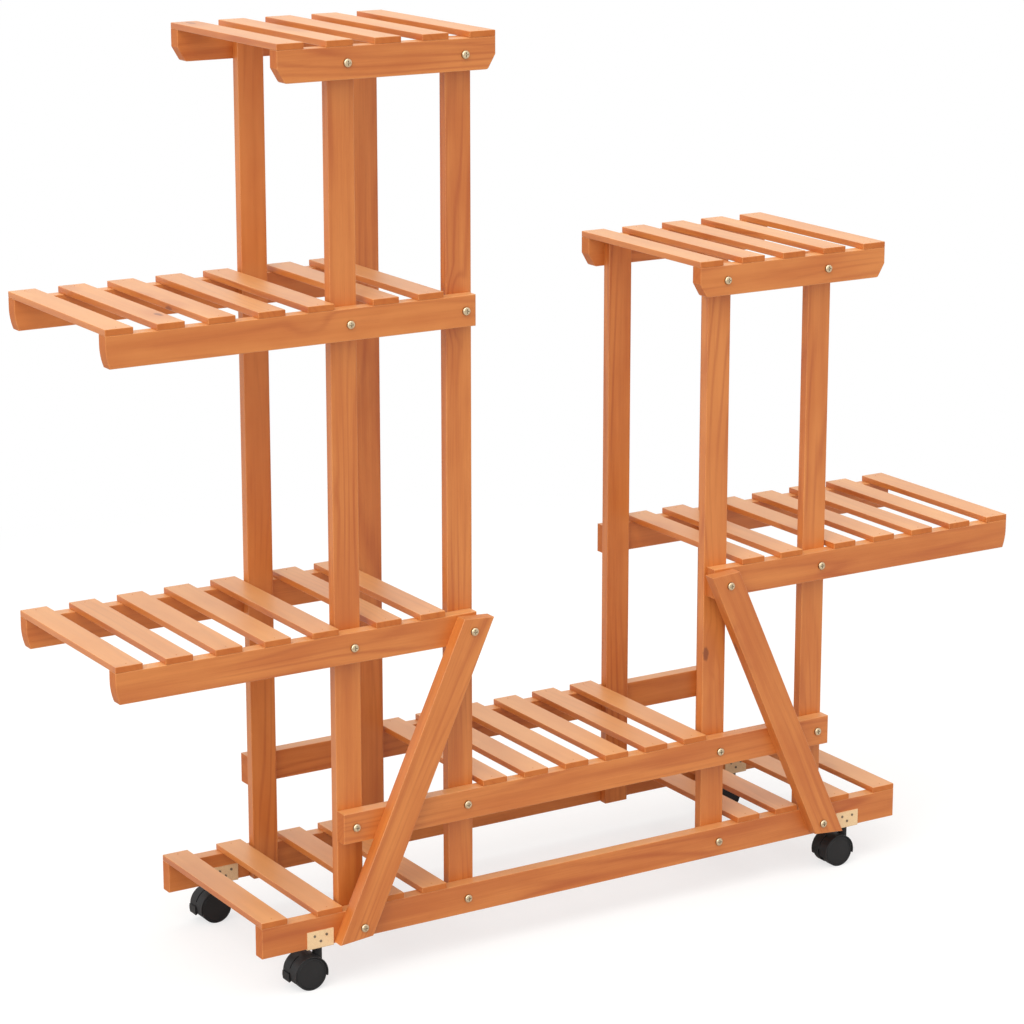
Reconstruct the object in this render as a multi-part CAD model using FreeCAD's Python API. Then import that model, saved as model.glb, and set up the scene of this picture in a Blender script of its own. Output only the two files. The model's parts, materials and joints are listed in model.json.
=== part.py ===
import FreeCAD
import Part
import math
import os

# Flower cart stand: a slatted wooden plant stand on four twin-wheel casters.
# Millimetres, +Z up, X along the stand, -Y is its front. The origin is on the
# floor, under the middle of the box that holds the whole stand.

# ---- boards -----------------------------------------------------------------
RAIL_T, RAIL_H = 16.0, 35.0        # section of the rails and the braces
SLAT_W, SLAT_T = 32.0, 7.0         # section of the slats
POST_W, POST_T = 32.0, 12.0        # section of the posts
EASED = 0.8                        # rounding of every long edge

# ---- layout, seen from the front --------------------------------------------
FRAME_DEPTH = 250.0                # over the outer faces of the two rails
INNER_POST_X = 174.5               # middle of the stand to an inner post's centre
POST_SPACING = 143.5               # inner to outer post, centre to centre
BASE_REACH = 120.0                 # outer post's centre to the base rail's end
LONG_REACH = 285.3                 # outer post's centre to a long shelf's end
TOP_REACH_OUT = 83.0               # outer post's centre to a top shelf's end
TOP_REACH_IN = 38.0                # inner post's centre to a top shelf's end
LONG_SET_BACK = 3.5                # a long shelf's inner end, from the post's edge

# ---- undersides of the rails, above the underside of the base rails ----------
MIDDLE_Z = 113.0
LOWER_Z = 321.0
UPPER_Z = 681.0
TOP_Z = 960.0

# ---- slats ------------------------------------------------------------------
TOP_SLATS = 5
LONG_SLATS = 5                     # outside the tower
BAY_SLATS = 2                      # between the two posts of a tower
BASE_SLATS = 2                     # outside the tower
MIDDLE_SLATS = 6
SLAT_POST_GAP = 3.0
MIDDLE_END_GAP = 4.5

# ---- shaped rail ends ---------------------------------------------------------
CLIP_L, CLIP_H = 9.5, 16.0         # straight clip under a top shelf's rail ends
CLIP_R = 4.0                       # rounding where the clip meets the underside
CURVE_L, CURVE_H = 4.5, 24.0       # curve under a long shelf's free rail end

# ---- braces -------------------------------------------------------------------
BRACE_W = 36.0
BRACE_T = RAIL_T
BRACE_FOOT_OUT = 3.5               # foot's centre line, outwards of its screw
BRACE_TOP_DROP = 3.0               # top end below the lower shelf rail's top edge
BRACE_FOOT_LIFT = 4.0              # foot above the base rail's underside
BRACE_TOP_SLOPE, BRACE_FOOT_SLOPE = -4.0, 5.0   # end cuts of the left brace, degrees

# ---- screws, nails and brads ----------------------------------------------------
SCREW_R = 2.0
SCREW_HEAD_R, SCREW_HEAD_H, SCREW_DOME = 4.7, 2.6, 1.7
SCREW_COVER = 1.5                  # wood left beyond a screw's tip
CROSS_L, CROSS_W, CROSS_DEPTH = 5.2, 1.0, 1.3
BRAD_R, BRAD_L, BRAD_SINK = 0.8, 20.0, 0.3
NAIL_R, NAIL_L = 0.8, 7.0
NAIL_HEAD_R, NAIL_HEAD_H = 1.5, 0.6
HOLE_PLAY = 0.05                   # round every screw, nail, brad and axle
TIP_PLAY = 0.3

# ---- caster brackets ------------------------------------------------------------
BRACKET_W, BRACKET_H = 33.0, 19.5
BRACKET_T = 1.2
BRACKET_BEND = 1.0
BRACKET_FOOT_GAP = 1.0             # plate to the brace's foot
NAIL_SPREAD, NAIL_UPPER_Z, NAIL_LOWER_Z = 15.0, 13.8, 7.2

# ---- casters --------------------------------------------------------------------
CASTER_H = 47.0                    # floor to the underside of the base rails
CASTER_W = 29.4
TRAIL = 14.4                       # swivel axis to axle
WHEEL_R, WHEEL_EDGE = 18.8, 1.2
WHEEL_FACE, WHEEL_RIM, HUB_R = 2.2, 2.6, 6.2
WHEEL_RIBS, RIB_T = 6, 1.6
WHEEL_SIDE_PLAY, WHEEL_TOP_PLAY = 0.4, 0.6
HOOD_WALL = 1.4
HOOD_FROM, HOOD_TO = -13.0, 197.0  # hood's two ends, degrees round the axle
SEAM_FROM, SEAM_TO = 112.0, 163.0  # narrow slot along the middle of the hood
SEAM_W, SEAM_DEPTH = 1.8, 2.4
WEB_T = 6.6
AXLE_R, AXLE_BOSS_R = 3.0, 6.5
SWIVEL_BOSS_R = 5.5
SWIVEL_PLAY = 0.3                  # bracket to the boss's top
KINGPIN_R, KINGPIN_HEAD_R, KINGPIN_HEAD_H = 3.0, 3.8, 1.4
KINGPIN_BEARING = 5.8              # length of the boss's bore
RIVET_R, RIVET_H = 4.2, 2.0

# ---- brake levers on the left-hand casters ----------------------------------------
LEVER_T, LEVER_EYE_R, LEVER_ARM_W = 2.0, 5.5, 5.0
LEVER_PLAY = 0.3
LEVER_ANGLE = 196.0                # arm, degrees round the axle, brake on
LEVER_SWING = 14.0                 # up to brake off
SLOT_SPAN = 90.0                   # slot for the arm, degrees from its upper end
TAB_FROM, TAB_TO = 178.0, 204.0
TAB_T_TOP, TAB_T = 0.9, 2.3        # the tab flares towards its lower end
TAB_FRONT, TAB_BACK = -1.0, 14.0   # the tab lies over the back wheel

# ---- places worked out from the sizes above -----------------------------------------
CASTER_OVER = (CASTER_W - RAIL_T) / 2              # wheels, proud of the rails' faces
FRONT_OVER = max(BRACE_T + SCREW_HEAD_H, CASTER_OVER)
REAR_OVER = max(SCREW_HEAD_H, CASTER_OVER)
DEPTH = FRAME_DEPTH + FRONT_OVER + REAR_OVER
Y_FRONT = -DEPTH / 2 + FRONT_OVER                  # front rails' outer face
Y_BACK = Y_FRONT + FRAME_DEPTH                     # rear rails' outer face
BASE = CASTER_H                                    # base rails' underside
OUTER_POST_X = INNER_POST_X + POST_SPACING
MID_RAIL = RAIL_H / 2
SIDES = {"left": -1, "right": 1}
LEVELS = {"base": 0.0, "middle_shelf": MIDDLE_Z, "lower_shelf": LOWER_Z,
          "upper_shelf": UPPER_Z, "top_shelf": TOP_Z}
TOWER_TOP = {"left": TOP_Z, "right": UPPER_Z}

CLOSE = 1e-6                                       # for picking edges by place

V = FreeCAD.Vector
X_AXIS, Y_AXIS, Z_AXIS = V(1, 0, 0), V(0, 1, 0), V(0, 0, 1)
NODES = {}


def box(x0, x1, y0, y1, z0, z1):
    return Part.makeBox(x1 - x0, y1 - y0, z1 - z0, V(x0, y0, z0))


def bar(radius, start, axis, length):
    """A round bar from start, along axis."""
    return Part.makeCylinder(radius, length, start, axis)


def moved(shape, x=0.0, y=0.0, z=0.0):
    copy = shape.copy()
    copy.translate(V(x, y, z))
    return copy


def joined(shapes):
    whole = shapes[0]
    for shape in shapes[1:]:
        whole = whole.fuse(shape)
    return whole.removeSplitter()


def eased(solid, along=None):
    """Round the edges of a board: all of them, or the straight ones along an axis."""
    edges = solid.Edges
    if along is not None:
        edges = [edge for edge in edges
                 if abs(edge.tangentAt(edge.FirstParameter).dot(along)) > 1 - CLOSE]
    return solid.makeFillet(EASED, edges)


def spread(start, end, count):
    """Left edges of slats laid evenly from start to end, flush at both."""
    step = (end - start - SLAT_W) / (count - 1)
    return [start + step * index for index in range(count)]


def shared_out(start, end, count):
    """Left edges of slats that each lie in the middle of an equal share."""
    share = (end - start) / count
    return [start + share * (index + 0.5) - SLAT_W / 2 for index in range(count)]


def mirrored_edges(edges):
    return sorted(-edge - SLAT_W for edge in edges)


# ---- screws, nails and brads: each stands at the origin, its tip along +Y -------------

def pan_screw(grip):
    """Cross-recessed pan head screw; grip is the wood it holds, up to its cover."""
    head = bar(SCREW_HEAD_R, V(0, -SCREW_HEAD_H, 0), Y_AXIS, SCREW_HEAD_H)
    rim = [edge for edge in head.Edges if abs(edge.CenterOfMass.y + SCREW_HEAD_H) < CLOSE]
    head = head.makeFillet(SCREW_DOME, rim)
    top = -SCREW_HEAD_H
    for wide, tall in ((CROSS_L, CROSS_W), (CROSS_W, CROSS_L)):
        head = head.cut(box(-wide / 2, wide / 2, top, top + CROSS_DEPTH, -tall / 2, tall / 2))
    return joined([head, bar(SCREW_R, V(0, 0, 0), Y_AXIS, grip - SCREW_COVER)])


def screw_hole(depth):
    return bar(SCREW_R + HOLE_PLAY, V(0, 0, 0), Y_AXIS, depth)


def place_facing(shape, x, z, front, stand_off=0.0):
    """Put a shape made for the front face at x, z, or turn it to the rear face."""
    if front:
        return moved(shape, x, Y_FRONT - stand_off, z)
    turned = shape.copy()
    turned.rotate(V(0, 0, 0), Z_AXIS, 180)
    return moved(turned, x, Y_BACK + stand_off, z)


# ---- rails --------------------------------------------------------------------------

def rail_end(x, inwards, shape):
    """Edges of a rail's end from its top corner down to its underside."""
    top, foot = V(x, 0, RAIL_H), V(x, 0, 0)
    if shape == "square":
        return [Part.LineSegment(top, foot)]
    if shape == "clipped":
        corner = V(x, 0, CLIP_H)
        return [Part.LineSegment(top, corner),
                Part.LineSegment(corner, V(x + inwards * CLIP_L, 0, 0))]
    radius = (CURVE_H ** 2 + CURVE_L ** 2) / (2 * CURVE_L)
    half = math.asin(CURVE_H / radius) / 2
    start = V(x, 0, CURVE_H)
    middle = V(x + inwards * radius * (1 - math.cos(half)), 0, CURVE_H - radius * math.sin(half))
    tip = V(x + inwards * CURVE_L, 0, 0)
    return [Part.LineSegment(top, start), Part.Arc(start, middle, tip)]


def rail(x0, x1, end0, end1):
    """A rail's blank with its outer face at Y 0 and its underside at Z 0."""
    left = [curve.toShape() for curve in rail_end(x0, 1, end0)]
    right = [curve.toShape() for curve in rail_end(x1, -1, end1)]
    foot0 = left[-1].Vertexes[-1].Point
    foot1 = right[-1].Vertexes[-1].Point
    under = Part.LineSegment(foot0, foot1).toShape()
    over = Part.LineSegment(V(x1, 0, RAIL_H), V(x0, 0, RAIL_H)).toShape()
    outline = Part.Wire(Part.__sortEdges__(left + [under] + right + [over]))
    blank = Part.Face(outline).extrude(V(0, RAIL_T, 0))
    tips = [x0 + CLIP_L] * (end0 == "clipped") + [x1 - CLIP_L] * (end1 == "clipped")
    corners = [edge for edge in blank.Edges
               if abs(edge.Length - RAIL_T) < CLOSE and abs(edge.CenterOfMass.z) < CLOSE
               and any(abs(edge.CenterOfMass.x - tip) < CLOSE for tip in tips)]
    if corners:
        blank = blank.makeFillet(CLIP_R, corners)
    faces = [edge for edge in blank.Edges if edge.BoundBox.YLength < CLOSE]
    return blank.makeFillet(EASED, faces)


def add_rails(name, level, x0, x1, ends, post_xs, slat_edges):
    """The front and rear rail of one shelf, with their screw and brad holes."""
    blank = rail(x0, x1, *ends)
    for x in post_xs:
        blank = blank.cut(moved(screw_hole(RAIL_T), x, 0, MID_RAIL))
    brad = bar(BRAD_R + HOLE_PLAY, V(0, 0, 0), -Z_AXIS, BRAD_L + TIP_PLAY - SLAT_T + BRAD_SINK)
    for edge in slat_edges:
        blank = blank.cut(moved(brad, edge + SLAT_W / 2, RAIL_T / 2, RAIL_H))
    bottom = BASE + LEVELS[level]
    NODES[name + "_front_rail"] = moved(blank, 0, Y_FRONT, bottom)
    NODES[name + "_rear_rail"] = moved(blank, 0, Y_BACK - RAIL_T, bottom)


# ---- slats --------------------------------------------------------------------------

BRAD_YS = (Y_FRONT + RAIL_T / 2, Y_BACK - RAIL_T / 2)
BRADS = []


def slat():
    """One slat with its left edge at X 0 and its underside at Z 0."""
    board = eased(box(0, SLAT_W, Y_FRONT, Y_BACK, 0, SLAT_T))
    for y in BRAD_YS:
        board = board.cut(bar(BRAD_R + HOLE_PLAY, V(SLAT_W / 2, y, 0), Z_AXIS, SLAT_T))
    return board


SLAT = slat()


def add_slats(name, level, left_edges):
    """The slats of one shelf, and the brads that hold them to its rails."""
    bottom = BASE + LEVELS[level] + RAIL_H
    NODES[name + "_slats"] = Part.makeCompound([moved(SLAT, x, 0, bottom) for x in left_edges])
    head = bottom + SLAT_T - BRAD_SINK
    for x in left_edges:
        for y in BRAD_YS:
            BRADS.append(bar(BRAD_R, V(x + SLAT_W / 2, y, head), -Z_AXIS, BRAD_L))


# ---- shelves and base -----------------------------------------------------------------
# Each is laid out for the right-hand tower and mirrored for the left-hand one.

IN_EDGE = INNER_POST_X - POST_W / 2          # inner post's edge, towards the middle
OUT_EDGE = OUTER_POST_X + POST_W / 2
BAY = shared_out(INNER_POST_X + POST_W / 2, OUTER_POST_X - POST_W / 2, BAY_SLATS)
TOP_EDGES = spread(INNER_POST_X - TOP_REACH_IN, OUTER_POST_X + TOP_REACH_OUT, TOP_SLATS)
LONG_EDGES = BAY + spread(OUT_EDGE + SLAT_POST_GAP, OUTER_POST_X + LONG_REACH, LONG_SLATS)
BASE_EDGES = BAY + spread(OUT_EDGE + SLAT_POST_GAP, OUTER_POST_X + BASE_REACH, BASE_SLATS)
POST_XS = (INNER_POST_X, OUTER_POST_X)


def add_shelf(side, level, name, near, far, end_shapes, slat_edges):
    """A tower's shelf from near to far of the middle of the stand."""
    if side == "right":
        add_rails(name, level, near, far, end_shapes, POST_XS, slat_edges)
        add_slats(name, level, slat_edges)
    else:
        edges = mirrored_edges(slat_edges)
        add_rails(name, level, -far, -near, end_shapes[::-1], [-x for x in POST_XS], edges)
        add_slats(name, level, edges)


TOP_ENDS, LONG_ENDS = ("clipped", "clipped"), ("square", "curved")
TOP_SPAN = (INNER_POST_X - TOP_REACH_IN, OUTER_POST_X + TOP_REACH_OUT)
LONG_SPAN = (IN_EDGE + LONG_SET_BACK, OUTER_POST_X + LONG_REACH)
add_shelf("left", "top_shelf", "left_top_shelf", *TOP_SPAN, TOP_ENDS, TOP_EDGES)
add_shelf("left", "upper_shelf", "left_upper_shelf", *LONG_SPAN, LONG_ENDS, LONG_EDGES)
add_shelf("left", "lower_shelf", "left_lower_shelf", *LONG_SPAN, LONG_ENDS, LONG_EDGES)
add_shelf("right", "upper_shelf", "right_top_shelf", *TOP_SPAN, TOP_ENDS, TOP_EDGES)
add_shelf("right", "lower_shelf", "right_lower_shelf", *LONG_SPAN, LONG_ENDS, LONG_EDGES)

ALL_POST_XS = [side * x for side in (-1, 1) for x in POST_XS]
MIDDLE_EDGES = spread(-IN_EDGE + MIDDLE_END_GAP, IN_EDGE - MIDDLE_END_GAP, MIDDLE_SLATS)
add_rails("middle_shelf", "middle_shelf", -OUT_EDGE, OUT_EDGE, ("square", "square"),
          ALL_POST_XS, MIDDLE_EDGES)
add_slats("middle_shelf", "middle_shelf", MIDDLE_EDGES)

BASE_END = OUTER_POST_X + BASE_REACH
add_rails("base", "base", -BASE_END, BASE_END, ("square", "square"),
          ALL_POST_XS, mirrored_edges(BASE_EDGES) + BASE_EDGES)
add_slats("base_left", "base", mirrored_edges(BASE_EDGES))
add_slats("base_right", "base", BASE_EDGES)


# ---- posts ----------------------------------------------------------------------------

def crossings(side):
    """Levels of the rails that cross a tower's posts."""
    levels = ["base", "middle_shelf", "lower_shelf", "upper_shelf"]
    return levels + ["top_shelf"] * (side == "left")


def post(side):
    """A tower's post with its outer face at Y 0, as a front post stands."""
    height = TOWER_TOP[side] + RAIL_H
    board = eased(box(-POST_W / 2, POST_W / 2, 0, POST_T, 0, height), Z_AXIS)
    hole = screw_hole(POST_T - SCREW_COVER + TIP_PLAY)
    for level in crossings(side):
        board = board.cut(moved(hole, 0, 0, LEVELS[level] + MID_RAIL))
    return board


for side, sign in SIDES.items():
    board = post(side)
    for place, x in (("inner", INNER_POST_X), ("outer", OUTER_POST_X)):
        name = side + "_" + place
        NODES[name + "_front_post"] = place_facing(board, sign * x, BASE, True, -RAIL_T)
        NODES[name + "_rear_post"] = place_facing(board, sign * x, BASE, False, -RAIL_T)


# ---- braces -----------------------------------------------------------------------------
# The left brace climbs from the outer post's foot to the inner post at the lower shelf.

BRACE_RUN = POST_SPACING + BRACE_FOOT_OUT
BRACE_RISE = LOWER_Z
BRACE_LEAN = BRACE_RUN / BRACE_RISE
BRACE_HALF = BRACE_W / 2 * math.hypot(1, BRACE_LEAN)     # half width, along X
BRACE_HEAD_Z = BASE + LOWER_Z + RAIL_H - BRACE_TOP_DROP
BRACE_FOOT_Z = BASE + BRACE_FOOT_LIFT


def brace_centre(z):
    """The left brace's centre line."""
    return -INNER_POST_X - BRACE_LEAN * (BASE + LOWER_Z + MID_RAIL - z)


def brace_corner(z_middle, slope, side):
    """Where an end cut meets the board's edge; side is -1 or 1."""
    rise = math.tan(math.radians(slope))
    x = brace_centre(z_middle)
    run = side * BRACE_HALF / (1 - BRACE_LEAN * rise)
    return V(x + run, 0, z_middle + rise * run)


def left_brace():
    corners = [brace_corner(BRACE_FOOT_Z, BRACE_FOOT_SLOPE, -1),
               brace_corner(BRACE_FOOT_Z, BRACE_FOOT_SLOPE, 1),
               brace_corner(BRACE_HEAD_Z, BRACE_TOP_SLOPE, 1),
               brace_corner(BRACE_HEAD_Z, BRACE_TOP_SLOPE, -1)]
    outline = Part.makePolygon(corners + corners[:1])
    board = Part.Face(outline).extrude(V(0, BRACE_T, 0))
    board = board.makeFillet(EASED, [edge for edge in board.Edges if edge.BoundBox.YLength < CLOSE])
    for x, z in ((-OUTER_POST_X, BASE), (-INNER_POST_X, BASE + LOWER_Z)):
        board = board.cut(moved(screw_hole(BRACE_T), x, 0, z + MID_RAIL))
    return moved(board, 0, Y_FRONT - BRACE_T, 0)


LEFT_BRACE = left_brace()
NODES["left_brace"] = LEFT_BRACE
NODES["right_brace"] = LEFT_BRACE.mirror(V(0, 0, 0), X_AXIS)

# ---- screws -------------------------------------------------------------------------------
BRACED = {("outer", "base"), ("inner", "lower_shelf")}
rail_screw = pan_screw(RAIL_T + POST_T)
brace_screw = pan_screw(BRACE_T + RAIL_T + POST_T)
SCREWS = {"front_rail_screws": [], "rear_rail_screws": [], "brace_screws": []}
for side, sign in SIDES.items():
    for place, x in (("inner", INNER_POST_X), ("outer", OUTER_POST_X)):
        for level in crossings(side):
            z = BASE + LEVELS[level] + MID_RAIL
            SCREWS["rear_rail_screws"].append(place_facing(rail_screw, sign * x, z, False))
            if (place, level) in BRACED:
                SCREWS["brace_screws"].append(place_facing(brace_screw, sign * x, z, True, BRACE_T))
            else:
                SCREWS["front_rail_screws"].append(place_facing(rail_screw, sign * x, z, True))
for name, shapes in SCREWS.items():
    NODES[name] = Part.makeCompound(shapes)
NODES["slat_brads"] = Part.makeCompound(BRADS)

# ---- caster brackets ------------------------------------------------------------------------
# Each saddle wraps the rail from below. It is made round its swivel axis, at X 0,
# with the rail's outer face at Y 0 and its underside at Z 0.

FOOT_EDGE = abs(brace_corner(BRACE_FOOT_Z, BRACE_FOOT_SLOPE, -1).x)
BRACKET_X = FOOT_EDGE + BRACKET_FOOT_GAP + BRACKET_W / 2
NAIL_PLACES = ((-NAIL_SPREAD / 2, NAIL_UPPER_Z), (NAIL_SPREAD / 2, NAIL_UPPER_Z), (0, NAIL_LOWER_Z))
CASTERS = {"front_left": (-1, True), "front_right": (1, True),
           "rear_left": (-1, False), "rear_right": (1, False)}


def bracket_nail():
    head = bar(NAIL_HEAD_R, V(0, -NAIL_HEAD_H, 0), Y_AXIS, NAIL_HEAD_H)
    return joined([head, bar(NAIL_R, V(0, 0, 0), Y_AXIS, NAIL_L)])


def nail_hole():
    return bar(NAIL_R + HOLE_PLAY, V(0, 0, 0), Y_AXIS, NAIL_L + TIP_PLAY)


def both_faces(shape):
    """Copies of a shape made for the outer plate, on both plates of a bracket."""
    turned = shape.copy()
    turned.rotate(V(0, 0, 0), Z_AXIS, 180)
    copies = []
    for x, z in NAIL_PLACES:
        copies.append(moved(shape, x, -BRACKET_T, z))
        copies.append(moved(turned, x, RAIL_T + BRACKET_T, z))
    return copies


def bracket():
    half = BRACKET_W / 2
    shell = box(-half, half, -BRACKET_T, RAIL_T + BRACKET_T, -BRACKET_T, BRACKET_H)
    bends = [edge for edge in shell.Edges
             if edge.BoundBox.XLength > half and abs(edge.CenterOfMass.z + BRACKET_T) < CLOSE]
    shell = shell.makeFillet(BRACKET_BEND, bends)
    shell = shell.cut(box(-half, half, 0, RAIL_T, 0, BRACKET_H))
    for hole in both_faces(nail_hole()):
        shell = shell.cut(hole)
    return shell.cut(bar(KINGPIN_R + HOLE_PLAY, V(0, RAIL_T / 2, -BRACKET_T), Z_AXIS, BRACKET_T))


def kingpin():
    """Rivet through the bracket's web, headed above it and inside the hood's boss."""
    axis_y = RAIL_T / 2
    end = BRACKET_T + SWIVEL_PLAY + KINGPIN_BEARING + SWIVEL_PLAY
    rivet = bar(RIVET_R, V(0, axis_y, 0), Z_AXIS, RIVET_H)
    shank = bar(KINGPIN_R, V(0, axis_y, -end), Z_AXIS, end)
    head = bar(KINGPIN_HEAD_R, V(0, axis_y, -end - KINGPIN_HEAD_H), Z_AXIS, KINGPIN_HEAD_H)
    return joined([rivet, shank, head])


def rail_pockets():
    """What a bracket takes out of its rail: the rivet's pocket and the nail holes."""
    pocket = bar(RIVET_R + TIP_PLAY, V(0, RAIL_T / 2, 0), Z_AXIS, RIVET_H + TIP_PLAY)
    return [pocket] + both_faces(nail_hole())


def rail_y(front):
    """Where a rail starts that a caster hangs under."""
    return Y_FRONT if front else Y_BACK - RAIL_T


BRACKET, KINGPIN, NAILS = bracket(), kingpin(), both_faces(bracket_nail())
kingpins, nails = [], []
for place, (sign, front) in CASTERS.items():
    x, y = sign * BRACKET_X, rail_y(front)
    NODES[place + "_bracket"] = moved(BRACKET, x, y, BASE)
    kingpins.append(moved(KINGPIN, x, y, BASE))
    nails += [moved(nail, x, y, BASE) for nail in NAILS]
    base_rail = "base_front_rail" if front else "base_rear_rail"
    for pocket in rail_pockets():
        NODES[base_rail] = NODES[base_rail].cut(moved(pocket, x, y, BASE))
NODES["kingpins"] = Part.makeCompound(kingpins)
NODES["bracket_nails"] = Part.makeCompound(nails)

# ---- casters ------------------------------------------------------------------------------------
# Made round the axle, at the origin, with the swivel axis at X TRAIL. The boss's
# top and the rail's underside are worked out from the axle's height.

AXLE_Z = WHEEL_R                               # above the floor
RAIL_OVER_AXLE = CASTER_H - WHEEL_R
BOSS_TOP = RAIL_OVER_AXLE - BRACKET_T - SWIVEL_PLAY
HOOD_IN_R = WHEEL_R + WHEEL_TOP_PLAY
HOOD_R = HOOD_IN_R + HOOD_WALL
WHEEL_IN_Y = WEB_T / 2 + WHEEL_SIDE_PLAY
WHEEL_W = CASTER_W / 2 - WHEEL_IN_Y
AXLE_HALF = CASTER_W / 2 - WHEEL_FACE - TIP_PLAY


def polar(radius, degrees):
    angle = math.radians(degrees)
    return V(radius * math.cos(angle), 0, radius * math.sin(angle))


def ring_sector(inner, outer, start, end, width):
    """Part of a ring round the axle, from start to end degrees, centred on Y 0."""
    middle = (start + end) / 2
    edges = [Part.Arc(polar(outer, start), polar(outer, middle), polar(outer, end)).toShape(),
             Part.LineSegment(polar(outer, end), polar(inner, end)).toShape(),
             Part.Arc(polar(inner, end), polar(inner, middle), polar(inner, start)).toShape(),
             Part.LineSegment(polar(inner, start), polar(outer, start)).toShape()]
    sector = Part.Face(Part.Wire(edges)).extrude(V(0, width, 0))
    return moved(sector, 0, -width / 2, 0)


def disc(radius, width):
    return bar(radius, V(0, -width / 2, 0), Y_AXIS, width)


def hood_web():
    """The plate between the wheels: the hood's outline, closed by a straight edge."""
    start, end = polar(HOOD_R, HOOD_FROM), polar(HOOD_R, HOOD_TO)
    arc = Part.Arc(start, polar(HOOD_R, (HOOD_FROM + HOOD_TO) / 2), end).toShape()
    outline = Part.Wire([arc, Part.LineSegment(end, start).toShape()])
    return moved(Part.Face(outline).extrude(V(0, WEB_T, 0)), 0, -WEB_T / 2, 0)


def lever_slot():
    """Room for the brake lever's eye and arm inside the hood."""
    width = LEVER_T + 2 * LEVER_PLAY
    half = LEVER_ARM_W / 2 + LEVER_PLAY
    start = LEVER_ANGLE - LEVER_SWING - math.degrees(math.asin(half / HOOD_IN_R))
    eye = disc(LEVER_EYE_R + LEVER_PLAY, width)
    sweep = ring_sector(LEVER_EYE_R, HOOD_R + TAB_T, start, start + SLOT_SPAN, width)
    raised = box(0, HOOD_R + TAB_T, -width / 2, width / 2, -half, half)
    raised.rotate(V(0, 0, 0), Y_AXIS, LEVER_SWING - LEVER_ANGLE)
    return joined([eye, sweep, raised])


def seam():
    """The narrow slot along the middle of the hood, behind its boss."""
    return ring_sector(HOOD_R - SEAM_DEPTH, HOOD_R + TAB_T, SEAM_FROM, SEAM_TO, SEAM_W)


def hood():
    shell = ring_sector(HOOD_IN_R, HOOD_R, HOOD_FROM, HOOD_TO, CASTER_W)
    boss = bar(SWIVEL_BOSS_R, V(TRAIL, 0, 0), Z_AXIS, BOSS_TOP).cut(disc(HOOD_IN_R, CASTER_W))
    body = joined([shell, hood_web(), disc(AXLE_BOSS_R, WEB_T), boss])
    body = body.cut(disc(AXLE_R, WEB_T))
    bore_end = BOSS_TOP - KINGPIN_BEARING
    body = body.cut(bar(KINGPIN_R + HOLE_PLAY, V(TRAIL, 0, bore_end), Z_AXIS, KINGPIN_BEARING))
    head_room = KINGPIN_HEAD_H + SWIVEL_PLAY + 2 * TIP_PLAY
    room = bar(KINGPIN_HEAD_R + TIP_PLAY, V(TRAIL, 0, bore_end - head_room), Z_AXIS, head_room)
    return body.cut(room).cut(lever_slot()).cut(seam())


def wheel():
    """Front wheel, its closed face towards -Y, hollow behind its face and ribbed."""
    face_y = -CASTER_W / 2
    solid = bar(WHEEL_R, V(0, face_y, 0), Y_AXIS, WHEEL_W)
    rim = [edge for edge in solid.Edges if abs(edge.BoundBox.YMax - face_y) < CLOSE]
    solid = solid.makeFillet(WHEEL_EDGE, rim)
    hollow_y = face_y + WHEEL_FACE
    hollow = bar(WHEEL_R - WHEEL_RIM, V(0, hollow_y, 0), Y_AXIS, WHEEL_W - WHEEL_FACE)
    hollow = hollow.cut(bar(HUB_R, V(0, hollow_y, 0), Y_AXIS, WHEEL_W - WHEEL_FACE))
    for index in range(WHEEL_RIBS):
        rib = box(0, WHEEL_R, hollow_y, hollow_y + WHEEL_W, -RIB_T / 2, RIB_T / 2)
        rib.rotate(V(0, 0, 0), Y_AXIS, 360.0 / WHEEL_RIBS * index)
        hollow = hollow.cut(rib)
    bore = bar(AXLE_R + HOLE_PLAY, V(0, hollow_y, 0), Y_AXIS, WHEEL_W)
    return solid.cut(hollow).cut(bore)


def lever_tab():
    """Curved tab outside the hood; it flares towards its lower end."""
    inner, middle = HOOD_R + LEVER_PLAY, (TAB_FROM + TAB_TO) / 2
    top_r, middle_r, end_r = inner + TAB_T_TOP, inner + (TAB_T_TOP + TAB_T) / 2, inner + TAB_T
    edges = [Part.Arc(polar(top_r, TAB_FROM), polar(middle_r, middle), polar(end_r, TAB_TO)).toShape(),
             Part.LineSegment(polar(end_r, TAB_TO), polar(inner, TAB_TO)).toShape(),
             Part.Arc(polar(inner, TAB_TO), polar(inner, middle), polar(inner, TAB_FROM)).toShape(),
             Part.LineSegment(polar(inner, TAB_FROM), polar(top_r, TAB_FROM)).toShape()]
    tab = Part.Face(Part.Wire(edges)).extrude(V(0, TAB_BACK - TAB_FRONT, 0))
    return moved(tab, 0, TAB_FRONT, 0)


def brake_lever():
    """Eye on the axle, arm through the hood's slot, and the tab outside the hood."""
    eye = disc(LEVER_EYE_R, LEVER_T)
    reach = HOOD_R + LEVER_PLAY + TAB_T_TOP
    arm = box(0, reach, -LEVER_T / 2, LEVER_T / 2, -LEVER_ARM_W / 2, LEVER_ARM_W / 2)
    arm.rotate(V(0, 0, 0), Y_AXIS, -LEVER_ANGLE)
    return joined([eye, arm, lever_tab()]).cut(disc(AXLE_R + HOLE_PLAY, LEVER_T))


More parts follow.
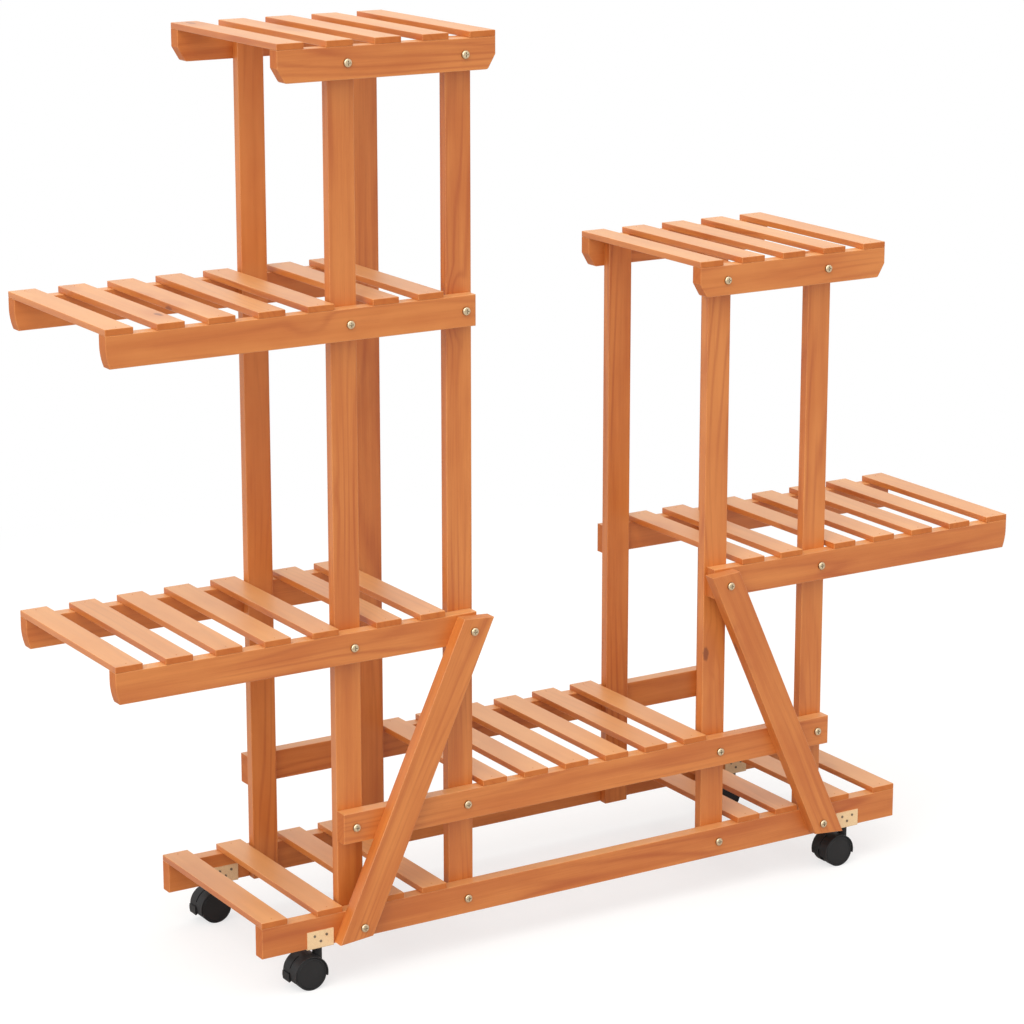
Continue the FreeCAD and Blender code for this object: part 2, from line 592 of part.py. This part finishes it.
FRONT_WHEEL = wheel()
BACK_WHEEL = FRONT_WHEEL.mirror(V(0, 0, 0), Y_AXIS)
HOOD, LEVER, AXLE = hood(), brake_lever(), disc(AXLE_R, 2 * AXLE_HALF)
for place, (sign, front) in CASTERS.items():
    at = (sign * BRACKET_X - TRAIL, rail_y(front) + RAIL_T / 2, AXLE_Z)
    NODES[place + "_hood"] = moved(HOOD, *at)
    NODES[place + "_axle"] = moved(AXLE, *at)
    NODES[place + "_front_wheel"] = moved(FRONT_WHEEL, *at)
    NODES[place + "_back_wheel"] = moved(BACK_WHEEL, *at)
    if sign < 0:
        NODES[place + "_brake_lever"] = moved(LEVER, *at)

# ---- one file for each named piece ------------------------------------------------------------
os.makedirs("parts", exist_ok=True)
for name, shape in NODES.items():
    shape.exportStep("parts/" + name + ".step")
    print(name, len(shape.Solids), "solids, volume", round(shape.Volume), "valid", shape.isValid())
print(len(NODES), "nodes")
print("brackets at x", round(BRACKET_X, 3), "rail axes y", round(rail_y(True) + RAIL_T / 2, 3),
      round(rail_y(False) + RAIL_T / 2, 3), "trail", TRAIL, "axle z", AXLE_Z)
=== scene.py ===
import json
import math

import bmesh
import bpy
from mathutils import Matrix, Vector

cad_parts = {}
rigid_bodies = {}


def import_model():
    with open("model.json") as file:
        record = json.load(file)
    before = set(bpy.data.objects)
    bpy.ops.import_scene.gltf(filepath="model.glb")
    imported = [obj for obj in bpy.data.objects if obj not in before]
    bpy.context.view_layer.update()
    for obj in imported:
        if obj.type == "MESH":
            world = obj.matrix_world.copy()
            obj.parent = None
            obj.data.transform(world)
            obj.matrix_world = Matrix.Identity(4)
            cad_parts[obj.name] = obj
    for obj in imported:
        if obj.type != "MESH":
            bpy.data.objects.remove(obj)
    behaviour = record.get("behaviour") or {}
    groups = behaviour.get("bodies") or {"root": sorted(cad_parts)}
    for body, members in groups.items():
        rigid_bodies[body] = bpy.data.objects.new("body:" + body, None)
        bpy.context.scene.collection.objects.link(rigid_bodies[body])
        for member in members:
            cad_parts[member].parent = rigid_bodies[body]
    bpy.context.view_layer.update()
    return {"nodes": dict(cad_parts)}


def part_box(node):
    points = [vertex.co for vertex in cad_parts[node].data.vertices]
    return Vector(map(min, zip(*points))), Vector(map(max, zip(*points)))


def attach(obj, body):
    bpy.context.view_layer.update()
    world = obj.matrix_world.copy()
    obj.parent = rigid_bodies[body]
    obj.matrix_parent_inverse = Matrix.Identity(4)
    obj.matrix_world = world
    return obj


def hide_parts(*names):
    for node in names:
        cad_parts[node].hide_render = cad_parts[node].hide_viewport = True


for spare in list(bpy.data.objects):
    bpy.data.objects.remove(spare)
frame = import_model()

# ---- Base ------------------------------------------------------------------------------
# Two long rails of stained fir joined by slats at both ends, open in the middle, where
# the stand is held by its middle shelf. Sawn, planed, dipped in an orange-brown stain.


class Strand:
    """One wire of a finish; sums on strands and numbers add their Math nodes."""

    def __init__(self, finish, socket):
        self.finish, self.socket = finish, socket

    def math(self, operation, *values):
        return self.finish.node("Math", {"operation": operation}, dict(enumerate(values)))

    def __add__(self, other):
        return self.math("ADD", self, other)

    def __sub__(self, other):
        return self.math("SUBTRACT", self, other)

    def __rsub__(self, other):
        return self.math("SUBTRACT", other, self)

    def __mul__(self, other):
        return self.math("MULTIPLY", self, other)

    def __pow__(self, other):
        return self.math("POWER", self, other)

    __radd__, __rmul__ = __add__, __mul__

    def sine(self):
        return self.math("SINE", self)

    def size(self):
        return self.math("ABSOLUTE", self)

    def ramp(self, low, high):
        """0 at low and 1 at high, with a soft start and end."""
        return self.finish.node("MapRange", {"interpolation_type": "SMOOTHSTEP"},
                                {"Value": self, "From Min": low, "From Max": high})


class Finish:
    """A material, or a world, as it is mixed: every node but the sums comes from node()."""

    def __init__(self, name, store=bpy.data.materials):
        self.whole = store.new(name)
        self.whole.use_nodes = True
        self.tree = self.whole.node_tree
        self.tree.nodes.clear()

    def node(self, kind, settings=None, sockets=None, out=0):
        made = self.tree.nodes.new("ShaderNode" + kind)
        for key, value in (settings or {}).items():
            setattr(made, key, value)
        for key, value in (sockets or {}).items():
            if isinstance(value, Strand):
                self.tree.links.new(value.socket, made.inputs[key])
            else:
                made.inputs[key].default_value = value
        return Strand(self, made.outputs[out]) if made.outputs else None

    def place(self):
        return self.node("TexCoord", out="Object")

    def axis(self, vector, which):
        """X, Y or Z of a vector, as 0, 1 or 2."""
        return self.node("SeparateXYZ", None, {"Vector": vector}, out=which)

    def mix(self, factor, one, other):
        """Colours one and other: sockets 6 and 7 of a Mix node set to colour."""
        return self.node("Mix", {"data_type": "RGBA"}, {0: factor, 6: one, 7: other}, out=2)

    def noise(self, place, scale, detail=2.0, rough=0.5):
        return self.node("TexNoise", None, {"Vector": place, "Scale": scale, "Detail": detail,
                                            "Roughness": rough})

    def rounded(self, radius):
        return self.node("Bevel", {"samples": 4}, {"Radius": radius})

    def edge(self, radius):
        """How far the surface turns within radius: 0 on a flat, 1 on a corner."""
        flat = self.node("NewGeometry", out="True Normal")
        across = self.node("VectorMath", {"operation": "DOT_PRODUCT"},
                           {0: self.rounded(radius), 1: flat}, out="Value")
        return (1 - across).ramp(0.004, 0.16)

    def surface(self, **sockets):
        """Close the finish with its Principled surface; returns the material."""
        names = {key: key.replace("_", " ").title().replace("Ior", "IOR") for key in sockets}
        skin = self.node("BsdfPrincipled", None, {names[key]: value for key, value in sockets.items()})
        self.node("OutputMaterial", None, {"Surface": skin})
        return self.whole


FIR = {"pale": (0.670, 0.225, 0.046, 1), "plain": (0.560, 0.155, 0.024, 1),
       "late": (0.420, 0.085, 0.010, 1), "knot": (0.180, 0.034, 0.008, 1),
       "end": (0.500, 0.128, 0.022, 1), "worn": (0.800, 0.390, 0.150, 1),
       "painted_top_light": (0.880, 0.505, 0.205, 1)}
RINGS, RING_SWAY, RING_BEND = 620.0, 74.0, 7.0     # radians to the metre, and their two bends
BOARDS, KNOTS, CLOUDS = 11.0, 9.0, 21.0            # of each, about so many to the metre
BANDS, FIBRES, PORES = 82.0, 640.0, 2300.0
WORN_EDGE = 0.0016


def stained_fir(name, along, lean=0.0, shift=0.0):
    """Lacquered fir, its grain along an axis, 0 to 2 for X to Z, or leaning from Z in the XZ plane."""
    fir = Finish(name)
    facing = fir.node("TexCoord", out="Normal")
    upward = fir.axis(facing, 2).ramp(0.6, 0.95)
    facing = fir.node("Mapping", {"vector_type": "NORMAL"}, {"Vector": facing, "Rotation": (0, lean, 0)})
    end_on = fir.axis(facing, along).size().ramp(0.6, 0.9)
    place = fir.node("Mapping", {"vector_type": "POINT"},
                     {"Vector": fir.place(), "Rotation": (0, lean, 0),
                      "Location": (shift, 0.6 * shift, 0.3 * shift)})
    length = fir.axis(place, along)
    width, depth = [fir.axis(place, k) for k in range(3) if k != along]

    def stretched(share):
        return fir.node("CombineXYZ", None, {0: width, 1: depth, 2: length * share})

    board = fir.noise(fir.node("CombineXYZ", None, {0: width, 1: depth, 2: 0.37}), BOARDS, 1.0)
    knots = fir.node("TexVoronoi", {"feature": "F1"}, {"Vector": stretched(0.45), "Scale": KNOTS})
    round_knot = knots.ramp(0.20, 0.06)
    heart = (knots + fir.noise(stretched(1.0), 260.0) * 0.03).ramp(0.060, 0.036)
    sway = fir.noise(stretched(0.09), 15.0, 2.0, 0.4)
    phase = (width * 0.8 + depth * 0.5) * RINGS + sway * RING_SWAY + round_knot * RING_BEND
    shown = fir.noise(stretched(0.25), 13.0, 1.0).ramp(0.38, 0.64)
    late = (phase.sine() * 0.5 + 0.5) ** 3.0 * shown
    band = fir.noise(stretched(0.045), BANDS, 2.0, 0.5)
    fibre = fir.noise(stretched(0.022), FIBRES, 3.0, 0.65)
    pores = fir.noise(stretched(0.045), PORES, 1.0).ramp(0.60, 0.72)
    cloud = fir.noise(stretched(0.33), CLOUDS, 3.0, 0.55)

    tone = fir.mix((band * 0.55 + cloud * 0.75 - 0.15).ramp(0.28, 0.72), FIR["plain"], FIR["pale"])
    darker = (late * 0.50 + pores * 0.16 + (0.5 - fibre) * 0.60 + (0.5 - band) * 0.42
              + (0.5 - board) * 1.0)
    tone = fir.mix(fir.node("Clamp", None, {"Value": darker + 0.06}), tone, FIR["late"])
    # Faces turned up are painted paler and yellower, more so where the clouds are high: painted light
    # from above.
    tone = fir.mix(upward * (0.30 + 0.34 * cloud), tone, FIR["painted_top_light"])
    tone = fir.mix(round_knot * 0.30, tone, FIR["late"])
    tone = fir.mix(heart * 0.75, tone, FIR["knot"])
    tone = fir.mix(end_on * 0.6, tone, FIR["end"])
    worn = fir.edge(WORN_EDGE) * (0.35 + 0.5 * band)
    tone = fir.mix(worn * (1 - 0.5 * end_on), tone, FIR["worn"])

    rise = fibre * 0.6 - late * 0.2 - pores * 0.15 + band * 0.3 - heart * 0.5
    relief = fir.node("Bump", None, {"Strength": 0.16, "Distance": 0.0005, "Height": rise})
    return fir.surface(base_color=tone, roughness=0.46 + fibre * 0.10 + end_on * 0.2, normal=relief,
                       coat_weight=0.8 - 0.5 * end_on, coat_roughness=0.42, coat_ior=1.5,
                       specular_ior_level=0.25)


def dress(material, *names):
    """Give CAD nodes their finish."""
    for name in names:
        solid = frame["nodes"][name].data
        solid.materials.clear()
        solid.materials.append(material)


rail_fir = stained_fir("stained fir, rails", along=0)
slat_fir = stained_fir("stained fir, slats", along=1, shift=0.4)
dress(rail_fir, "base_front_rail", "base_rear_rail")
dress(slat_fir, "base_left_slats", "base_right_slats")

# ---- Posts -----------------------------------------------------------------------------
# Eight flat posts of the same fir, two pairs to a tower, set inside the rails with their
# wide faces to the front and rear. The taller tower is on the left.
post_fir = stained_fir("stained fir, posts", along=2, shift=1.7)
for side in ("left", "right"):
    for stand in ("inner", "outer"):
        dress(post_fir, f"{side}_{stand}_front_post", f"{side}_{stand}_rear_post")

# ---- Shelves ---------------------------------------------------------------------------
# Each is a front and a rear rail with slats nailed across. Long shelves run out past
# their tower and end in a curve; the short top shelves have clipped ends.
for shelf in ("middle_shelf", "left_lower_shelf", "left_upper_shelf", "left_top_shelf",
              "right_lower_shelf", "right_top_shelf"):
    dress(rail_fir, shelf + "_front_rail", shelf + "_rear_rail")
    dress(slat_fir, shelf + "_slats")

# ---- Braces ----------------------------------------------------------------------------
# Two boards screwed to the front, from the base rail at the outer posts up to the
# lower shelves at the inner posts. Their grain follows their slant.
BRACE_RUN, BRACE_RISE = 147.0, 321.0
BRACE_LEAN = math.atan2(BRACE_RUN, BRACE_RISE)
dress(stained_fir("stained fir, left brace", along=2, lean=-BRACE_LEAN, shift=2.3), "left_brace")
dress(stained_fir("stained fir, right brace", along=2, lean=BRACE_LEAN, shift=3.1), "right_brace")

# ---- Screws ----------------------------------------------------------------------------
# Cross-recessed pan head screws of pale zinc-plated steel, one through each crossing of
# a rail and a post, and longer ones at both ends of each brace. Their rims are painted
# near-black as painted shade.
zinc = Finish("pale zinc")
cloud = zinc.noise(zinc.place(), 900.0, 3.0)
scuff = zinc.noise(zinc.place(), 4200.0, 2.0)
tint = zinc.mix(cloud.ramp(0.35, 0.7), (0.60, 0.47, 0.30, 1), (0.82, 0.68, 0.47, 1))
tint = zinc.mix(zinc.edge(0.0004) * 0.4, tint, (0.90, 0.80, 0.62, 1))
# Where the head turns side-on round its rim it is painted near-black: painted shade.
outward = zinc.axis(zinc.node("TexCoord", out="Normal"), 1).size()
tint = zinc.mix(outward.ramp(0.55, 0.10) * 0.8, tint, (0.13, 0.10, 0.07, 1))
marks = zinc.node("Bump", None, {"Strength": 0.15, "Distance": 0.0002, "Height": scuff})
dress(zinc.surface(base_color=tint, metallic=1.0, roughness=0.27 + cloud * 0.16, normal=marks),
      "front_rail_screws", "rear_rail_screws", "brace_screws")

# ---- Brads -----------------------------------------------------------------------------
# Headless brads hold each slat to its two rails. They are sunk a little and stained
# over with the board, so they show as small dull dots.
brad = Finish("stained brads")
cloud = brad.noise(brad.place(), 1500.0, 2.0)
tint = brad.mix(cloud, (0.40, 0.12, 0.030, 1), (0.54, 0.18, 0.050, 1))
dress(brad.surface(base_color=tint, metallic=0.2, roughness=0.45 + cloud * 0.2), "slat_brads")

# ---- Caster brackets -------------------------------------------------------------------
# A saddle of bent sheet steel wraps the base rail over each caster, with three small
# nails through each cheek. It is enamelled in a light tan.
CORNERS = ("front_left", "front_right", "rear_left", "rear_right")
tan = Finish("light tan enamel")
speck = tan.noise(tan.place(), 1500.0, 3.0, 0.65)
patch = tan.noise(tan.place(), 90.0, 2.0)
tint = tan.mix(speck.ramp(0.32, 0.66), (0.76, 0.50, 0.26, 1), (0.90, 0.66, 0.38, 1))
tint = tan.mix(patch * 0.35, tint, (0.94, 0.71, 0.45, 1))
tint = tan.mix(tan.edge(0.0006) * 0.6, tint, (0.60, 0.36, 0.18, 1))
peel = tan.node("Bump", None, {"Strength": 0.2, "Distance": 0.0003, "Height": speck,
                               "Normal": tan.rounded(0.0003)})
dress(tan.surface(base_color=tint, roughness=0.42 + speck * 0.12, normal=peel),
      *[corner + "_bracket" for corner in CORNERS])

# ---- Bracket nails, swivel pins and axles ----------------------------------------------
# Small nails hold each bracket; their dark heads are painted shade of their holes. Under it
# stands the plain steel pin on which its caster turns, and through the caster runs the plain
# steel axle of its two wheels.


def bare_steel(name, scale, dark, light, metallic, rough):
    """Steel with no coat but a little oil, clouded from dark to light."""
    steel = Finish(name)
    cloud = steel.noise(steel.place(), scale, 3.0)
    tint = steel.mix(cloud.ramp(0.3, 0.7), dark, light)
    return steel.surface(base_color=tint, metallic=metallic, roughness=rough + cloud * 0.2)


# The nail heads are near-black: painted shade of the holes they sit in.
dress(bare_steel("dark steel, painted hole shade", 700.0, (0.16, 0.12, 0.085, 1), (0.30, 0.25, 0.19, 1), 0.8, 0.42),
      "bracket_nails")
dress(bare_steel("plain steel", 600.0, (0.40, 0.39, 0.37, 1), (0.58, 0.57, 0.55, 1), 1.0, 0.28),
      "kingpins", *[corner + "_axle" for corner in CORNERS])

# ---- Caster hoods ----------------------------------------------------------------------
# Black nylon mouldings, satin from a lightly etched mould: a hood over both wheels, the
# plate between them and the short boss that turns on the swivel pin.


def black_nylon(name, dark, light, grain, scale):
    nylon = Finish(name)
    etch = nylon.noise(nylon.place(), scale, 2.0, 0.6)
    cloud = nylon.noise(nylon.place(), 45.0, 3.0)
    dust = nylon.noise(nylon.place(), 380.0, 3.0, 0.7).ramp(0.5, 0.8)
    tint = nylon.mix(cloud * 0.6 + dust * 0.5, dark, light)
    tint = nylon.mix(nylon.edge(0.0006) * 0.55, tint, (0.075, 0.075, 0.077, 1))
    skin = nylon.node("Bump", None, {"Strength": grain, "Distance": 0.0002, "Height": etch,
                                     "Normal": nylon.rounded(0.00045)})
    return nylon.surface(base_color=tint, roughness=0.40 + cloud * 0.12 + dust * 0.12, normal=skin,
                         ior=1.38)


hood_nylon = black_nylon("black nylon, hoods", (0.008, 0.008, 0.009, 1), (0.018, 0.018, 0.019, 1),
                         0.35, 3200.0)
dress(hood_nylon, *[corner + "_hood" for corner in CORNERS])

# ---- Brake levers ----------------------------------------------------------------------
# One on each left-hand caster: a black nylon tab behind the hood, on an arm that swings
# on the axle. It is down, with the brake on.
dress(hood_nylon, "front_left_brake_lever", "rear_left_brake_lever")

# ---- Caster wheels ---------------------------------------------------------------------
# Black nylon, in pairs on a steel axle: a slightly domed disc in a raised rim, a hub
# round the axle, and six ribs from hub to rim behind the disc.
WHEEL_R, WHEEL_OUT, WHEEL_IN = 0.0188, 0.0147, 0.0037       # its two faces, from the caster's middle
DISC_R, DISC_OUT, DISC_FALL, DISC_BACK = 0.0162, 0.0144, 0.0004, 0.0125
GROOVE_W, GROOVE_FLOOR = 0.0006, 0.0136
OUTER_CORNER, INNER_CORNER, BEND = 0.0012, 0.0009, 0.0003
RIM_IN, HUB_R, BORE_R = 0.0162, 0.0062, 0.00305
RIB_T, RIBS, RIB_SUNK = 0.0016, 6, 0.0002
ROUND, CREASE, WELD = 96, math.radians(38), 1e-6


def corner_arc(radius, reach, face, towards, steps=6):
    """Rounded corner of the tread at reach and face, its points from the face to the tread or back."""
    turns = [math.pi / 2 * step / steps for step in range(steps + 1)]
    points = [(reach - radius * (1 - math.sin(turn)), face - towards * radius * (1 - math.cos(turn)))
              for turn in turns]
    return points if towards > 0 else points[::-1]


def wheel_section():
    """Half a section of the wheel, as radius and distance from the caster's middle."""
    domed = [(DISC_R * step / 6, DISC_OUT - DISC_FALL * (step / 6) ** 2) for step in range(7)]
    groove = [(DISC_R + BEND / 2, DISC_OUT - DISC_FALL - BEND), (DISC_R + BEND, GROOVE_FLOOR),
              (DISC_R + GROOVE_W, GROOVE_FLOOR), (DISC_R + GROOVE_W + BEND / 2, WHEEL_OUT - BEND),
              (DISC_R + GROOVE_W + BEND, WHEEL_OUT)]
    tread = (corner_arc(OUTER_CORNER, WHEEL_R, WHEEL_OUT, 1)
             + corner_arc(INNER_CORNER, WHEEL_R, WHEEL_IN, -1))
    hollow = [(RIM_IN, WHEEL_IN), (RIM_IN, DISC_BACK), (HUB_R, DISC_BACK), (HUB_R, WHEEL_IN + BEND),
              (HUB_R - BEND, WHEEL_IN), (BORE_R, WHEEL_IN), (BORE_R, DISC_BACK), (0.0, DISC_BACK)]
    return domed + groove + tread + hollow


def add_rib(wheel, turn):
    """One rib as a closed block, its ends sunk a little into hub, rim and disc."""
    out = Vector((math.cos(turn), 0, math.sin(turn)))
    side = Vector((-math.sin(turn), 0, math.cos(turn)))
    near, far, half = HUB_R - RIB_SUNK, RIM_IN + RIB_SUNK, RIB_T / 2
    corners = []
    for y in (-WHEEL_IN - 4 * RIB_SUNK, -DISC_BACK - RIB_SUNK):
        for radius, across in ((near, -half), (near, half), (far, half), (far, -half)):
            point = out * radius + side * across
            corners.append(wheel.verts.new((point.x, y, point.z)))
    for face in ((0, 1, 2, 3), (7, 6, 5, 4), (0, 4, 5, 1), (1, 5, 6, 2), (2, 6, 7, 3), (3, 7, 4, 0)):
        wheel.faces.new([corners[k] for k in face])


def wheel_mesh():
    """A wheel turned from its section round Y, with its disc towards -Y."""
    wheel = bmesh.new()
    turned = [wheel.verts.new((radius, -out, 0)) for radius, out in wheel_section()]
    edges = [wheel.edges.new(pair) for pair in zip(turned, turned[1:])]
    bmesh.ops.spin(wheel, geom=turned + edges, cent=(0, 0, 0), axis=(0, 1, 0),
                   angle=2 * math.pi, steps=ROUND, use_merge=True)
    bmesh.ops.remove_doubles(wheel, verts=wheel.verts, dist=WELD)
    for rib in range(RIBS):
        add_rib(wheel, 2 * math.pi * rib / RIBS)
    bmesh.ops.recalc_face_normals(wheel, faces=wheel.faces)
    mesh = bpy.data.meshes.new("caster wheel")
    wheel.to_mesh(mesh)
    wheel.free()
    mesh.polygons.foreach_set("use_smooth", [True] * len(mesh.polygons))
    mesh.set_sharp_from_angle(angle=CREASE)
    return mesh


shape = wheel_mesh()
shape.materials.append(black_nylon("black nylon, wheels", (0.010, 0.010, 0.011, 1),
                                   (0.022, 0.022, 0.023, 1), 0.22, 2600.0))
for corner in CORNERS:
    middle_y = (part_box(corner + "_front_wheel")[0].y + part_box(corner + "_back_wheel")[1].y) / 2
    for side, turn in (("front", 0.0), ("back", math.pi)):
        node = f"{corner}_{side}_wheel"
        low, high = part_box(node)
        wheel = bpy.data.objects.new(node + "_turned", shape)
        bpy.context.scene.collection.objects.link(wheel)
        wheel.location = ((low.x + high.x) / 2, middle_y, WHEEL_R)
        wheel.rotation_euler = (0, 0, turn)
        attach(wheel, node)
        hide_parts(node)

# ---- Floor and light -------------------------------------------------------------------
# A plain white floor in a white studio, under three broad soft lamps: one at the left,
# one by the camera and one overhead. The floor keeps the stand's shadow near it, and
# pales into the backdrop further out.
FLOOR_HALF, SHADOW_TO, BACKDROP_FROM = 14.0, 0.9, 1.9
ground = bmesh.new()
bmesh.ops.create_grid(ground, x_segments=8, y_segments=8, size=FLOOR_HALF)
mesh = bpy.data.meshes.new("studio floor")
ground.to_mesh(mesh)
ground.free()
floor = bpy.data.objects.new("studio_floor", mesh)
bpy.context.scene.collection.objects.link(floor)
paint = Finish("white floor")
reach = paint.node("VectorMath", {"operation": "LENGTH"}, {0: paint.place()}, out="Value")
matt = paint.node("BsdfDiffuse", None, {"Color": (0.62, 0.62, 0.62, 1)})
shown = paint.node("BsdfDiffuse", None, {"Color": (0.34, 0.34, 0.34, 1)})
lift = paint.node("Emission", None, {"Color": (1, 1, 1, 1), "Strength": 0.68})
shown = paint.node("AddShader", None, {0: shown, 1: lift})
white = paint.node("Emission", None, {"Color": (1, 1, 1, 1), "Strength": 1.0})
shown = paint.node("MixShader", None, {0: reach.ramp(SHADOW_TO, BACKDROP_FROM), 1: shown, 2: white})
seen = paint.node("LightPath", out="Is Camera Ray")
whole = paint.node("MixShader", None, {0: seen, 1: matt, 2: shown})
paint.node("OutputMaterial", None, {"Surface": whole})
mesh.materials.append(paint.whole)

sky = Finish("white studio", bpy.data.worlds)
around = sky.node("Background", None, {"Color": (1.0, 0.985, 0.965, 1), "Strength": 0.56})
bare = sky.node("Background", None, {"Color": (1, 1, 1, 1), "Strength": 1.0})
camera_ray, glossy_ray, through_ray = [sky.node("LightPath", out=f"Is {ray} Ray")
                                       for ray in ("Camera", "Glossy", "Transmission")]
choice = {0: camera_ray + glossy_ray + through_ray, 1: around, 2: bare}
sky.node("OutputWorld", None, {"Surface": sky.node("MixShader", None, choice)})
bpy.context.scene.world = sky.whole


def lamp(name, strength, spread, towards, colour):
    light = bpy.data.lights.new(name, "SUN")
    light.energy, light.angle, light.color = strength, math.radians(spread), colour
    holder = bpy.data.objects.new(name, light)
    bpy.context.scene.collection.objects.link(holder)
    holder.rotation_euler = Vector(towards).to_track_quat("-Z", "Y").to_euler()


lamp("lamp at the left", 1.20, 50.0, (0.70, 0.30, -0.62), (1.0, 0.975, 0.93))
lamp("lamp by the camera", 0.57, 50.0, (0.50, 0.80, -0.36), (1.0, 0.975, 0.93))
lamp("lamp overhead", 1.37, 60.0, (0.12, 0.16, -1.0), (1.0, 0.965, 0.91))

# ---- Camera ----------------------------------------------------------------------------
# A long lens from the front left, a little above the top shelf. Its small shift lets it
# look down less, so that the posts stand nearly upright.
CAMERA_AT = (-1.933, -3.066, 1.418)
TURN, DOWN = math.radians(31.66), math.radians(13.76)
SENSOR, LENS, SHIFT = 36.0, 112.76, -0.05
view = bpy.data.cameras.new("camera")
view.sensor_width, view.lens, view.shift_y = SENSOR, LENS, SHIFT
camera = bpy.data.objects.new("camera", view)
bpy.context.scene.collection.objects.link(camera)
camera.location = CAMERA_AT
aim = Vector((math.sin(TURN) * math.cos(DOWN), math.cos(TURN) * math.cos(DOWN), -math.sin(DOWN)))
camera.rotation_euler = aim.to_track_quat("-Z", "Y").to_euler()
bpy.context.scene.camera = camera
bpy.context.scene.view_settings.view_transform = "Standard"
